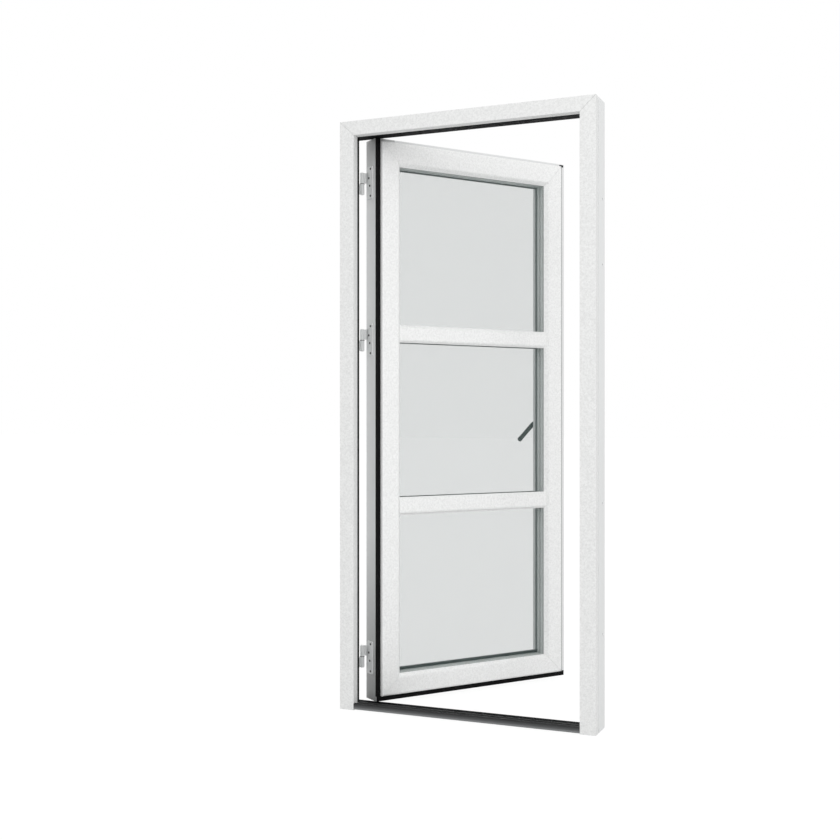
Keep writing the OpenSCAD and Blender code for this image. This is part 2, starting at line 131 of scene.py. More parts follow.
def rounded(corners, steps=5):
    """Outline through corners (u, v, radius), each turned with a smooth curve of that radius."""
    outline = []
    for i, (u, v, radius) in enumerate(corners):
        here = Vector((u, v))
        if radius == 0:
            outline.append(here)
            continue
        before = Vector(corners[i - 1][:2]) - here
        after = Vector(corners[(i + 1) % len(corners)][:2]) - here
        reach = radius / math.tan(before.angle(after) / 2)
        a = here + before.normalized() * reach
        b = here + after.normalized() * reach
        for k in range(steps + 1):
            t = k / steps
            outline.append(a * (1 - t) ** 2 + here * 2 * t * (1 - t) + b * t**2)
    return outline


def circle(radius, count=32):
    """Round outline."""
    turns = (2 * math.pi * k / count for k in range(count))
    return [Vector((radius * math.cos(t), radius * math.sin(t))) for t in turns]


def skin(mesh, rings):
    """Joins rings of equal length into a closed skin with flat ends."""
    made = [[mesh.verts.new(p) for p in ring] for ring in rings]
    count = len(made[0])
    for low, high in zip(made, made[1:]):
        for i in range(count):
            j = (i + 1) % count
            mesh.faces.new((low[i], low[j], high[j], high[i]))
    mesh.faces.new(made[0][::-1])
    mesh.faces.new(made[-1])


def standing(x, y, z):
    """Puts an outline in plan (x, y) at the height z."""
    return Vector((x, y, z))


def lying(y, z, x):
    """Puts an outline in section (y, z) at x along the window's width."""
    return Vector((x, y, z))


def sweep(mesh, outline, ends):
    """A bar whose outline is carried to each end by a function of (u, v)."""
    skin(mesh, [[end(*p) for p in outline] for end in ends])


def extrude(mesh, outline, place, low, high):
    """A bar whose outline runs from low to high; place(u, v, w) gives the points."""
    sweep(mesh, outline, [lambda u, v: place(u, v, low), lambda u, v: place(u, v, high)])


def lathe(mesh, centre, axis, profile, count=32):
    """Turns a profile of (radius, height) about an axis; each end is closed flat."""
    along = Vector(axis).normalized()
    side = along.orthogonal().normalized()
    across = along.cross(side)
    rings = []
    for radius, height in profile:
        ring = [side * p.x + across * p.y for p in circle(max(radius, 1e-5), count)]
        rings.append([Vector(centre) + along * height + p for p in ring])
    skin(mesh, rings)


def solid(mesh, name, body, material, nodes, turned=IN_PLACE, edge=0.0004):
    """Makes an object of a mesh: its edges are eased, and it rides on its body."""
    bmesh.ops.recalc_face_normals(mesh, faces=mesh.faces)
    data = bpy.data.meshes.new(name)
    mesh.to_mesh(data)
    mesh.free()
    data.transform(turned)
    data.polygons.foreach_set("use_smooth", [True] * len(data.polygons))
    data.set_sharp_from_angle(angle=math.radians(32))
    data.materials.append(material)
    piece = bpy.data.objects.new(name, data)
    bpy.context.scene.collection.objects.link(piece)
    ease(piece, edge)
    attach(piece, body)
    if nodes:
        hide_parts(*nodes)
    return piece


def ease(piece, edge):
    """Takes the sharpness off a piece's edges."""
    bevel = piece.modifiers.new("eased edges", "BEVEL")
    bevel.width = edge
    bevel.segments = 2
    bevel.limit_method = "ANGLE"
    bevel.angle_limit = math.radians(40)
    bevel.use_clamp_overlap = True
    piece.modifiers.new("even light", "WEIGHTED_NORMAL")


def dress(node, material, edge):
    """Gives a node of the frame its finish and eased edges."""
    piece = NODES[node]
    normals = piece.data.attributes.get("custom_normal")
    if normals:
        piece.data.attributes.remove(normals)
    piece.data.polygons.foreach_set("use_smooth", [True] * len(piece.data.polygons))
    piece.data.materials.clear()
    piece.data.materials.append(material)
    weld = piece.modifiers.new("welded", "WELD")
    weld.merge_threshold = 1e-5
    ease(piece, edge)


class Surround:
    """Four members round an opening, mitred where their widths meet."""

    def __init__(self, low, high, left, right, bottom, top, gap=0.0):
        self.low = low
        self.high = high
        self.left = left
        self.right = right
        self.bottom = bottom
        self.top = top
        self.gap = gap

    def upright(self, u, side, upper):
        """Height of a stile's end at a distance u from its outer edge."""
        if upper:
            return self.high.z - u * self.top / side - self.gap
        return self.low.z + u * self.bottom / side + self.gap

    def level(self, u, rail, right):
        """Place along a rail of its end at a distance u from its outer edge."""
        if right:
            return self.high.x - u * self.right / rail - self.gap
        return self.low.x + u * self.left / rail + self.gap

    def ends(self, side):
        """The two functions that carry an outline (u inwards, v in depth) to a member's ends."""
        low, high = self.low, self.high
        made = {
            "hinge": lambda upper: lambda u, v: Vector(
                (low.x + u, v, self.upright(u, self.left, upper))
            ),
            "lock": lambda upper: lambda u, v: Vector(
                (high.x - u, v, self.upright(u, self.right, upper))
            ),
            "top": lambda right: lambda u, v: Vector(
                (self.level(u, self.top, right), v, high.z - u)
            ),
            "bottom": lambda right: lambda u, v: Vector(
                (self.level(u, self.bottom, right), v, low.z + u)
            ),
        }[side]
        return [made(False), made(True)]


# ---------------------------------------------------------------- shader arithmetic


# Sockets of a colour Mix node, which shares their names with its other kinds of value.
COLOUR_A, COLOUR_B, COLOUR_OUT = 6, 7, 2


class Link:
    """A shader socket in a Python expression: each operator adds one Math node."""

    def __init__(self, finish, socket):
        self.finish = finish
        self.socket = socket

    def __add__(self, other):
        return self.finish.maths("ADD", self, other)

    def __radd__(self, other):
        return self.finish.maths("ADD", other, self)

    def __sub__(self, other):
        return self.finish.maths("SUBTRACT", self, other)

    def __rsub__(self, other):
        return self.finish.maths("SUBTRACT", other, self)

    def __mul__(self, other):
        return self.finish.maths("MULTIPLY", self, other)

    def __rmul__(self, other):
        return self.finish.maths("MULTIPLY", other, self)


class Finish:
    """A material with one Principled shader and the nodes that feed it."""

    def __init__(self, name, **fixed):
        self.material = bpy.data.materials.new(name)
        self.material.use_nodes = True
        self.tree = self.material.node_tree
        self.shader = self.tree.nodes["Principled BSDF"]
        self.place = self.node("ShaderNodeTexCoord", out="Object")
        for socket, value in fixed.items():
            self.feed(socket.replace("_", " "), value)

    def node(self, kind, settings=None, values=None, out=None):
        """Adds a node: its settings first, then the values or links of its sockets."""
        made = self.tree.nodes.new(kind)
        for key, value in (settings or {}).items():
            if key == "stops":
                self.set_stops(made.color_ramp, value)
            else:
                setattr(made, key, value)
        for key, value in (values or {}).items():
            self.fill(made.inputs[key], value)
        shown = [s for s in made.outputs if s.enabled]
        return Link(self, made.outputs[out] if out else shown[0])

    def fill(self, socket, value):
        """Sets a socket to a value, or links it."""
        if isinstance(value, Link):
            self.tree.links.new(value.socket, socket)
        else:
            socket.default_value = value

    def set_stops(self, ramp, stops):
        """Sets a ramp's stops, given as (place, value from black to white)."""
        while len(ramp.elements) < len(stops):
            ramp.elements.new(1)
        for element, (place, value) in zip(ramp.elements, stops):
            element.position = place
            element.color = (value, value, value, 1)

    def feed(self, socket, value):
        """Feeds a socket of the Principled shader."""
        self.fill(self.shader.inputs[socket], value)

    def maths(self, operation, a, b):
        """Adds a Math node."""
        return self.node("ShaderNodeMath", {"operation": operation}, {0: a, 1: b})

    def noise(self, scale, detail=2.0, stretch=(1, 1, 1)):
        """Soft noise over the piece, from 0 to 1, with scale in features per metre."""
        place = self.node(
            "ShaderNodeVectorMath", {"operation": "MULTIPLY"}, {0: self.place, 1: stretch}
        )
        return self.node(
            "ShaderNodeTexNoise", None, {"Vector": place, "Scale": scale, "Detail": detail}, "Fac"
        )

    def ramp(self, value, stops):
        """Reshapes a value through a ramp."""
        return self.node("ShaderNodeValToRGB", {"stops": stops}, {"Fac": value}, "Color")

    def cells(self, scale):
        """Distance to the nearest of scattered points, with scale in cells per metre."""
        values = {"Vector": self.place, "Scale": scale}
        return self.node("ShaderNodeTexVoronoi", {"feature": "F1"}, values, "Distance")

    def height_share(self, low, high):
        """Height over the piece, from 0 at low to 1 at high."""
        height = self.node("ShaderNodeSeparateXYZ", None, {0: self.place}, "Z")
        values = {"Value": height, "From Min": low, "From Max": high}
        return self.node("ShaderNodeMapRange", None, values, "Result")

    def blend(self, factor, a, b):
        """A colour between a and b."""
        values = {"Factor": factor, COLOUR_A: opaque(a), COLOUR_B: opaque(b)}
        return self.node("ShaderNodeMix", {"data_type": "RGBA"}, values, COLOUR_OUT)

    def bump(self, height, strength, distance):
        """Feeds the normal from a height."""
        values = {"Height": height, "Strength": strength, "Distance": distance}
        self.feed("Normal", self.node("ShaderNodeBump", None, values))


def opaque(colour):
    """A colour with its fourth number, or the link that stands for one."""
    return colour if isinstance(colour, Link) else (*colour[:3], 1.0)


def shade(colour, share):
    """A colour made darker or lighter by a share."""
    return tuple(min(1.0, c * share) for c in colour[:3])


# ---------------------------------------------------------------- finishes


def textured_white(name, colour):
    """White coating with the fine grain of a textured powder coat."""
    f = Finish(name, Metallic=0.0, IOR=1.46)
    speckle = f.ramp(f.noise(140), [(0.36, 0), (0.64, 1)])
    grain = f.ramp(f.noise(260, detail=3), [(0.38, 0), (0.62, 1)])
    sand = f.noise(760)
    cloud = f.noise(2.5)
    tone = speckle * 0.45 + grain * 0.45 + cloud * 0.1
    f.feed("Base Color", f.blend(tone, shade(colour, 0.89), shade(colour, 1.07)))
    f.feed("Roughness", 0.46 + sand * 0.16)
    f.bump(grain * 0.6 + sand * 0.4, 0.35, 0.0004)
    return f.material


def smooth_white(name, colour, low=None, high=None):
    """Smooth white profile with faint lines from the extruder; with low and high given, painted shade
    makes it greyer near them.
    """
    f = Finish(name, Metallic=0.0, IOR=1.46)
    cloud = f.noise(4, detail=3)
    lines = f.noise(90, detail=1, stretch=(1, 1, 0.02))
    tone = f.blend(cloud * 0.7 + lines * 0.3, shade(colour, 0.965), shade(colour, 1.01))
    if high is not None:
        # Painted shade: the colour darkens towards both ends of the piece, most at the low end.
        shadow_stops = [(0.0, 1.0), (0.1, 0.75), (0.3, 0.0), (0.88, 0.0), (1.0, 0.7)]
        shadow = f.ramp(f.height_share(low, high), shadow_stops)
        tone = f.blend(shadow, tone, shade(colour, 0.52))
    f.feed("Base Color", tone)
    f.feed("Roughness", 0.36 + cloud * 0.1)
    f.bump(lines, 0.08, 0.0002)
    return f.material


def rubber(name, colour):
    """Matte weather seal with a slightly greasy, uneven skin."""
    f = Finish(name, Metallic=0.0, IOR=1.4, Specular_IOR_Level=0.2)
    mottle = f.noise(60, detail=4)
    pores = f.noise(1400)
    f.feed("Base Color", f.blend(mottle, shade(colour, 0.8), shade(colour, 1.5)))
    f.feed("Roughness", 0.6 + mottle * 0.2)
    f.bump(pores, 0.2, 0.0002)
    return f.material


def black_composite(name, colour):
    """Glass-filled black plastic with a scuffed grain."""
    f = Finish(name, Metallic=0.0, IOR=1.3, Specular_IOR_Level=0.08)
    grain = f.noise(500, detail=3)
    scuffs = f.ramp(f.noise(14, detail=5, stretch=(0.2, 1, 1)), [(0.5, 0), (0.8, 1)])
    f.feed("Base Color", f.blend(grain * 0.5 + scuffs * 0.5, colour, shade(colour, 2.0)))
    f.feed("Roughness", 0.5 + scuffs * 0.2)
    f.bump(grain, 0.25, 0.0002)
    return f.material


def satin_aluminium(name, colour, low, high):
    """Anodised aluminium, brushed along the sill; painted light and shade make it paler from high
    down to low.
    """
    f = Finish(name, Metallic=0.1, IOR=1.5, Specular_IOR_Level=0.15)
    brushed = f.noise(2400, stretch=(0.006, 1, 1))
    # Painted light and shade: dark at the top, paler towards the foot.
    painted_light_by_height = f.ramp(1 - f.height_share(low, high), [(0.05, 0.0), (0.5, 0.22), (1.0, 1.0)])
    tone = painted_light_by_height * 0.9 + brushed * 0.1
    f.feed("Base Color", f.blend(tone, shade(colour, 0.03), shade(colour, 1.7)))
    f.feed("Roughness", 0.38 + brushed * 0.14)
    f.bump(brushed, 0.15, 0.0001)
    return f.material


def zinc_steel(name, colour):
    """Zinc plating with faint spangle and handling marks."""
    f = Finish(name, Metallic=0.9, IOR=1.5)
    spangle = f.cells(420)
    rubbed = f.noise(35, detail=4)
    tone = spangle * 0.5 + rubbed * 0.5
    f.feed("Base Color", f.blend(tone, shade(colour, 0.82), shade(colour, 1.1)))
    f.feed("Roughness", 0.28 + rubbed * 0.18)
    f.bump(spangle, 0.1, 0.0001)
    return f.material


def hinge_paint(name, colour):
    """White stove enamel with a slight orange peel."""
    f = Finish(name, Metallic=0.0, IOR=1.5, Coat_Weight=0.25)
    peel = f.noise(320)
    cloud = f.noise(30)
    f.feed("Base Color", f.blend(cloud, shade(colour, 0.96), shade(colour, 1.02)))
    f.feed("Roughness", 0.28 + peel * 0.1)
    f.bump(peel, 0.12, 0.0003)
    return f.material


def dark_handle_metal(name, colour):
    """Satin dark metal with patches polished a little by hands."""
    f = Finish(name, Metallic=0.7, IOR=1.5)
    cast = f.noise(900)
    worn = f.ramp(f.noise(22, detail=3), [(0.45, 0), (0.75, 1)])
    f.feed("Base Color", f.blend(worn, colour, shade(colour, 1.35)))
    f.feed("Roughness", 0.4 - worn * 0.1 + cast * 0.06)
    f.bump(cast, 0.12, 0.0001)
    return f.material


def spacer_plastic(name, colour):
    """Warm-edge spacer between the panes, with scattered fine vent holes."""
    f = Finish(name, Metallic=0.1, IOR=1.5)
    dots = f.cells(260)
    holes = f.ramp(dots, [(0.12, 0), (0.2, 1)])
    f.feed("Base Color", f.blend(holes, shade(colour, 0.4), colour))
    f.feed("Roughness", 0.55 + dots * 0.1)
    f.bump(holes, 0.2, 0.0002)
    return f.material


def clear_glass(name, colour, cover):
    """Float glass: a thin tint over what is behind it, and a clean reflection."""
    f = Finish(name, Metallic=0.0, IOR=1.52, Roughness=0.02)
    f.material.surface_render_method = "BLENDED"
    drift = f.noise(1.6)
    f.feed("Base Color", f.blend(drift, shade(colour, 0.985), shade(colour, 1.015)))
    f.feed("Alpha", cover * 0.97 + drift * (cover * 0.06))
    f.feed("Specular IOR Level", 0.25)
    return f.material


# ---------------------------------------------------------------- settings


def length(name, description, default, low=0.0, high=1.0):
    """A size in metres."""
    return FloatProperty(
        name=name, description=description, default=default, min=low, max=high,
        unit="LENGTH", subtype="DISTANCE", precision=4,
    )


def colour_of(name, description, default):
    """A colour."""
    return FloatVectorProperty(
        name=name, description=description, default=default, size=3, min=0, max=1, subtype="COLOR"
    )


class ProfileSettings(bpy.types.PropertyGroup):
    """Edges, grooves and joints of the profiles."""

    arris: length("Frame arris", "Radius of the outer edges of the frame cladding", 0.003)
    inner_arris: length("Inner arris", "Radius of the edges beside the opening", 0.002)
    sash_arris: length("Sash arris", "Radius of the outer edges of the sash cladding", 0.006)
    bevel: length("Bevel", "Width of the bevel of the sash cladding down to the glass", 0.012)
    quirk: length("Quirk", "Width of the fine groove between face and bevel", 0.0022)
    shadow_gap: length("Shadow gap", "Width of the groove behind the frame cladding", 0.007)
    seal_lip: length("Seal lip", "How far the frame's seal reaches forward over the cladding", 0.008)
    top_seal: length("Top seal", "Height of the seal along the top of the sash", 0.0025)
    sill_lift: length("Sill lift", "Drip gap under the nose of the threshold", 0.004)
    mitre_gap: length("Mitre gap", "Half the open joint at each mitre", 0.0003)
    eased: length("Eased edge", "Small rounding on every hard edge", 0.0006)
    seal_ribs: IntProperty(
        name="Seal ribs", description="Ribs along the face of a weather seal", default=3, min=1, max=6
    )


class HardwareSettings(bpy.types.PropertyGroup):
    """Hinges, screws and handle."""

    leaf: length("Hinge plate", "Thickness of a hinge plate", 0.003)
    leaf_width: length("Hinge plate width", "Width of a hinge plate on the sash", 0.039)
    knuckle_height: length("Knuckle height", "Height of a whole hinge knuckle", 0.083)
    plate_corner: length("Plate corner", "Radius of the corners of the hinge plates", 0.006)
    neck: length("Neck radius", "Radius of the neck of the handle", 0.008)
    grip_width: length("Grip width", "Width of the lever", 0.0185)
    grip_depth: length("Grip depth", "Thickness of the lever", 0.0125)
    grip_length: length("Grip length", "Length of the lever beyond its pivot", 0.105)


class ColourSettings(bpy.types.PropertyGroup):
    """Colours of the finishes."""

    cladding: colour_of("Cladding", "Textured white of the frame", (0.805, 0.81, 0.805))
    sash_cladding: colour_of("Sash cladding", "Textured white of the sash", (0.925, 0.93, 0.925))
    profile: colour_of("Profile", "Smooth white of the profiles", (0.80, 0.81, 0.81))
    seal: colour_of("Seal", "Weather seals", (0.004, 0.004, 0.0045))
    glazing_seal: colour_of("Glazing seal", "Seal between inner pane and bead", (0.24, 0.25, 0.25))
    composite: colour_of("Composite", "Threshold deck, lining and packers", (0.005, 0.005, 0.0055))
    sill: colour_of("Sill", "Aluminium nose of the threshold", (0.24, 0.245, 0.25))
    zinc: colour_of("Zinc", "Screws, pins and lock", (0.60, 0.61, 0.62))
    enamel: colour_of("Enamel", "Hinge plates", (0.79, 0.80, 0.80))
    screw: colour_of("Screws", "Blackened screws of the hinges", (0.05, 0.05, 0.052))
    handle: colour_of("Handle", "Lever and rose", (0.075, 0.08, 0.082))
    spacer: colour_of("Spacer", "Edge of the glass unit", (0.60, 0.63, 0.62))
    glass: colour_of("Glass", "Tint of the panes", (0.20, 0.26, 0.25))


class StageSettings(bpy.types.PropertyGroup):
    """Floor, light and camera."""

    floor: colour_of("Floor", "Pale floor", (0.76, 0.76, 0.76))
    room_light: FloatProperty(
        name="Room light", description="Light from the white surroundings", default=0.93, min=0, max=2
    )
    panel_light: FloatProperty(
        name="Panel light", description="Power of the soft panel in watts", default=55, min=0, max=500
    )
    camera_angle: FloatProperty(
        name="Camera angle", description="How far the camera turns to the left",
        default=math.radians(22.81), subtype="ANGLE",
    )
    camera_side: length("Camera side", "Camera to the right of the frame's middle", 1.423, 0, 10)
    camera_back: length("Camera distance", "Camera in front of the frame's middle", 3.816, 1, 20)
    camera_height: length("Camera height", "Height of the camera", 1.0385, 0, 5)


def settings():
    """The four groups of settings."""
    scene = bpy.context.scene
    return scene.window_profiles, scene.window_hardware, scene.window_colours, scene.window_stage


def finish_named(name):
    """A finish by its short name, made once."""
    colours = bpy.context.scene.window_colours
    sill_low, sill_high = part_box("threshold_nose")
    rib_low, rib_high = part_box("threshold_rib")
    stile_low, stile_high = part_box("sash_stile_hinge")
    # The rib's painted light and shade start a little below the rib.
    rib_foot = rib_low.z - 0.008
    outer_cover, inner_cover = 0.11, 0.05
    known, make, *given = {
        "cladding": ("textured white coating", textured_white, colours.cladding),
        "sash cladding": ("textured white sash coating", textured_white, colours.sash_cladding),
        "profile": ("smooth white profile", smooth_white, colours.profile),
        # The hinge stile's finish has painted shade near its ends.
        "stile": ("smooth white stile", smooth_white, colours.profile, stile_low.z, stile_high.z),
        "seal": ("weather seal rubber", rubber, colours.seal),
        "glazing seal": ("glazing seal rubber", rubber, colours.glazing_seal),
        "composite": ("black composite", black_composite, colours.composite),
        # The sill and rib finishes have painted light and shade by height.
        "sill": ("satin aluminium", satin_aluminium, colours.sill, sill_low.z, sill_high.z),
        "rib": ("satin aluminium rib", satin_aluminium, colours.sill, rib_foot, rib_high.z),
        "zinc": ("zinc-plated steel", zinc_steel, colours.zinc),
        "screw": ("blackened steel", zinc_steel, colours.screw),
        "enamel": ("white hinge enamel", hinge_paint, colours.enamel),
        "handle": ("dark satin metal", dark_handle_metal, colours.handle),
        "spacer": ("warm-edge spacer", spacer_plastic, colours.spacer),
        "outer glass": ("outer glass", clear_glass, colours.glass, outer_cover),
        "clear glass": ("clear glass", clear_glass, colours.glass, inner_cover),
    }[name]
    return bpy.data.materials.get(known) or make(known, *given)


# ---------------------------------------------------------------- the pieces


class PieceOperator(bpy.types.Operator):
    """Shared by the operators that make pieces."""

    bl_options = {"REGISTER", "UNDO"}

    def execute(self, context):
        self.make(*settings()[:2])
        return {"FINISHED"}


def seal_outline(width, depth, ribs, start=0.0, lip=0.0):
    """Face of a weather seal: half-round ribs along its depth, the first with a forward lip."""
    outline = [Vector((0, start))]
    pitch = (depth + lip) / ribs
    steps = 6
    valley, lip_base = 0.55, 0.96
    for rib in range(ribs):
        for k in range(steps + 1):
            t = math.pi * k / steps
            base = width * (lip_base if lip and rib == 0 and k < steps / 2 else valley)
            v = start - lip + pitch * (rib + 0.5 - 0.5 * math.cos(t))
            outline.append(Vector((base + (width - base) * math.sin(t), v)))
    outline.append(Vector((0, start + depth)))
    return outline


class CASEMENT_OT_frame_cladding(PieceOperator):
    """The mitred white cladding of the jambs and head"""

    bl_idname = "casement.frame_cladding"
    bl_label = "Frame cladding"

    def make(self, profile, hardware):
        left_low, left_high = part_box("frame_cladding_left")
        head_low, head_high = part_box("frame_cladding_head")
        jamb = left_high.x - left_low.x
        head = head_high.z - head_low.z
        around = Surround(
            Vector((head_low.x, 0, left_low.z)), head_high, jamb, jamb, 0.0, head, profile.mitre_gap
        )
        around.low.z -= profile.mitre_gap
        front, back = left_low.y, left_high.y
        step_in, chamfer = 0.003, 0.0035
        for side, node, width in (
            ("hinge", "frame_cladding_left", jamb),
            ("lock", "frame_cladding_right", jamb),
            ("top", "frame_cladding_head", head),
        ):
            outline = rounded([
                (0, front, profile.arris),
                (width, front, profile.inner_arris),
                (width, back - profile.seal_lip, 0),
                (width - chamfer, back, 0),
                (step_in, back, 0),
                (step_in, back - profile.shadow_gap, 0),
                (0, back - profile.shadow_gap, 0.0008),
            ])
            mesh = bmesh.new()
            sweep(mesh, outline, around.ends(side))
            solid(mesh, node.replace("cladding", "skin"), "frame", finish_named("cladding"),
                  [node])


class CASEMENT_OT_frame_core(PieceOperator):
    """The plain white profiles behind the cladding"""

    bl_idname = "casement.frame_core"
    bl_label = "Frame core"

    def make(self, profile, hardware):
        for node in ("frame_core_left", "frame_core_right", "frame_core_head"):
            dress(node, finish_named("profile"), profile.eased)


class CASEMENT_OT_frame_seals(PieceOperator):
    """The ribbed black seals inside the frame's flange, and the lining under the head"""

    bl_idname = "casement.frame_seals"
    bl_label = "Frame seals"

    def make(self, profile, hardware):
        left_low, left_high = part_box("frame_gasket_left")
        right_low, right_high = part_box("frame_gasket_right")
        head_low, head_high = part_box("frame_gasket_head")
        width = left_high.x - left_low.x
        drop = head_high.z - head_low.z
        depth = left_high.y - left_low.y
        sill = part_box("threshold_rib")[1].z
        around = Surround(
            Vector((left_low.x, 0, sill)), Vector((right_high.x, 0, head_high.z)),
            width, width, 0.0, drop,
        )
        for side, node, across in (
            ("hinge", "frame_gasket_left", width),
            ("lock", "frame_gasket_right", width),
            ("top", "frame_gasket_head", drop),
        ):
            outline = seal_outline(across, depth, profile.seal_ribs, left_low.y, profile.seal_lip)
            mesh = bmesh.new()
            sweep(mesh, outline, around.ends(side))
            solid(mesh, node.replace("gasket", "seal"), "frame", finish_named("seal"),
                  [node], edge=0.0001)
        dress("head_lining", finish_named("composite"), 0.0003)


class CASEMENT_OT_threshold(PieceOperator):
    """The low threshold: aluminium nose and rib, grooved deck and its seal"""

    bl_idname = "casement.threshold"
    bl_label = "Threshold"

    def bar(self, node, outline, low, high, finish, slot):
        """A bar across the threshold; its outline is in depth and height."""
        mesh = bmesh.new()
        extrude(mesh, outline, lying, low, high)
        solid(mesh, node.replace("threshold", "sill"), "frame", finish_named(finish), [node],
              edge=0.0003)

    def make(self, profile, hardware):
        low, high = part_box("threshold_nose")
        groove, pitch, rear_land = 0.0008, 0.0016, 0.003
        nose_radius, nose_flat, skirt = 0.004, 0.005, 0.002
        grooves = [
            (high.y - rear_land - pitch * k, high.z - groove * (k % 2), 0) for k in (3, 2, 1, 0)
        ]
        foot = low.z + profile.sill_lift
        self.bar("threshold_nose", rounded([
            (low.y, foot, 0.0015), (low.y, high.z, nose_radius), (low.y + nose_flat, high.z, 0),
            *grooves, (high.y, high.z, 0.0006), (high.y, low.z, 0), (high.y - skirt, low.z, 0),
            (high.y - skirt, foot, 0),
        ]), low.x, high.x, "sill", "grey_aluminium")
        low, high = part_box("threshold_rib")
        rib_edge = 0.0015
        self.bar("threshold_rib", rounded([
            (low.y, low.z, 0), (low.y, high.z, rib_edge), (high.y, high.z, rib_edge),
            (high.y, low.z, 0),
        ]), low.x, high.x, "rib", "grey_aluminium")
        low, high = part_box("threshold_seal")
        middle = (low.y + high.y) / 2
        half_crest, crest_radius = 0.0012, 0.0008
        self.bar("threshold_seal", rounded([
            (low.y, low.z, 0), (middle - half_crest, high.z, crest_radius),
            (middle + half_crest, high.z, crest_radius), (high.y, low.z, 0),
        ]), low.x, high.x, "seal", "black_rubber")
        self.deck()

    def deck(self):
        """Two black steps with shallow grooves, the rear one reaching between the jamb walls."""
        low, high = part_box("threshold_deck")
        rib_low, rib_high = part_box("threshold_rib")
        seal_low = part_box("threshold_seal")[0]
        mesh = bmesh.new()
        front = self.grooved(low.y, rib_high.y, low.z, rib_low.z)
        extrude(mesh, front, lying, rib_low.x, rib_high.x)
        rear = self.grooved(rib_high.y, high.y, low.z, seal_low.z)
        extrude(mesh, rear, lying, low.x, high.x)
        solid(mesh, "sill_deck", "frame", finish_named("composite"),
              ["threshold_deck"], edge=0.0003)

    def grooved(self, front, back, foot, top, pitch=0.006, groove=0.0009, half_width=0.001):
        """Outline of a step whose top has grooves at a steady pitch."""
        count = int((back - front) / pitch)
        outline = [(front, foot), (front, top)]
        for k in range(1, count):
            y = front + k * (back - front) / count
            outline += [(y - half_width, top), (y, top - groove), (y + half_width, top)]
        return outline + [(back, top), (back, foot)]


class CASEMENT_OT_hinges(PieceOperator):
    """Hinge plates, knuckles and pins"""

    bl_idname = "casement.hinges"
    bl_label = "Hinges"

    def knuckle(self, mesh, low, high, radius, domed):
        """Half a knuckle: a barrel with eased rims and a domed outer end."""
        rim = 0.0012
        dome = ((1.0, 3.0), (0.93, 1.6), (0.7, 0.4), (0.3, 0.0))
        if domed:
            profile = [(radius - rim / 2, low), (radius, low + rim / 2)]
            profile += [(radius * share, high - rims * rim) for share, rims in dome]
        else:
            profile = [(radius * share, low + rims * rim) for share, rims in reversed(dome)]
            profile += [(radius, high - rim / 2), (radius - rim / 2, high)]
        lathe(mesh, (HINGE_AXIS.x, HINGE_AXIS.y, 0), (0, 0, 1), profile, 40)

    def leaf(self, node, hardware):
        """One plate with its strap and half knuckle."""
        on_sash = "sash" in node
        low, high = shut_box(node) if on_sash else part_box(node)
        middle = (low.z + high.z) / 2
        half = hardware.knuckle_height / 2
        t = hardware.leaf
        axis = HINGE_AXIS
        radius = axis.x - low.x if on_sash else high.x - axis.x
        wall = high.x if on_sash else low.x
        out = -t if on_sash else t
        set_back = 0.004
        core_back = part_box("frame_core_left")[1].y
        back = low.y + hardware.leaf_width if on_sash else core_back - set_back
        mesh = bmesh.new()
        r = hardware.plate_corner
        plate = rounded([(low.y, low.z, r), (back, low.z, r), (back, high.z, r), (low.y, high.z, r)])
        extrude(mesh, plate, lying, wall, wall + out)
        root = back - 0.008
        face = axis.y - 0.0045
        strap = rounded([
            (wall, root, 0), (wall, axis.y, 0.005), (axis.x, axis.y, 0), (axis.x, face, 0),
            (wall + out, face, 0.0012), (wall + out, root, 0),
        ])
        washer_room, strap_end = 0.001, 0.002
        barrel_low = middle if on_sash else middle - half
        barrel_high = middle + half if on_sash else middle - washer_room
        extrude(mesh, strap, standing, barrel_low + strap_end, barrel_high - strap_end)
        self.knuckle(mesh, barrel_low, barrel_high, radius, on_sash)
        solid(mesh, node.replace("leaf", "plate"), "sash" if on_sash else "frame",
              finish_named("enamel"), [node], OPENED if on_sash else IN_PLACE)

    def make(self, profile, hardware):
        for place in ("lower", "middle", "upper"):
            self.leaf(f"hinge_frame_leaf_{place}", hardware)
            self.leaf(f"hinge_sash_leaf_{place}", hardware)
        dress("hinge_pins", finish_named("zinc"), profile.eased)
        self.washers(hardware)

    def washers(self, hardware):
        """A black bearing washer between the two halves of each knuckle."""
        mesh = bmesh.new()
        for place in ("lower", "middle", "upper"):
            low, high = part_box(f"hinge_frame_leaf_{place}")
            middle = (low.z + high.z) / 2
            radius = high.x - HINGE_AXIS.x
            bore, rim, crown = radius * 0.55, radius + 0.0006, radius + 0.0009
            foot, waist, top = middle - 0.0014, middle - 0.0006, middle + 0.0001
            lathe(mesh, (HINGE_AXIS.x, HINGE_AXIS.y, 0), (0, 0, 1), [
                (bore, foot), (rim, foot), (crown, waist), (rim, top), (bore, top),
            ])
        solid(mesh, "hinge_washers", "frame", finish_named("seal"), [], edge=0.0001)


